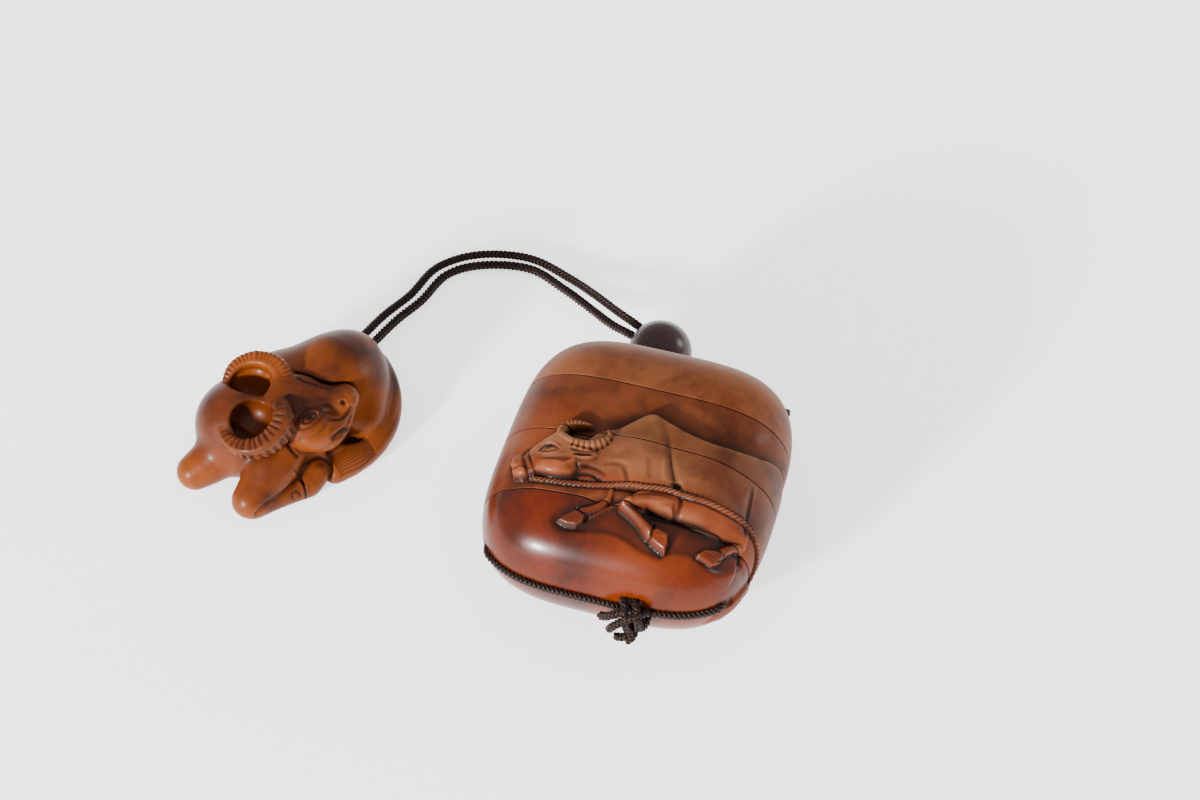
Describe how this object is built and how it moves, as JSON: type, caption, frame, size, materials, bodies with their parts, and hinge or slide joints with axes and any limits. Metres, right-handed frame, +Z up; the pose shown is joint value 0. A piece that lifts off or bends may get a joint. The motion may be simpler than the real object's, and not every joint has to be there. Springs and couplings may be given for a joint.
{
  "type": "inro case",
  "caption": "Small carved wooden tiered case with a lid, an ox in relief, and a cord through its sides to a round bead and a toggle carved as a curled ox.",
  "frame": {"origin": "middle of the flat resting spot on the back of the case, on the surface it lies on", "axes": "+X across the case to the ox's rump, +Y from the base to the lid, +Z up out of the carved front"},
  "size_m": [0.1307, 0.1049, 0.0365],
  "materials": {
    "case_wood": "stained and waxed boxwood, polished by handling",
    "bead_wood": "dark turned hardwood, satin",
    "cord": "braided silk, matt"
  },
  "bodies": {
    "root": {"lid": "case_wood", "tier_upper": "case_wood", "tier_middle": "case_wood", "base": "case_wood", "ojime": "bead_wood", "netsuke": "case_wood", "cord_left": "cord", "cord_right": "cord", "cord_case": "cord", "knot": "cord"}
  },
  "joints": []
}
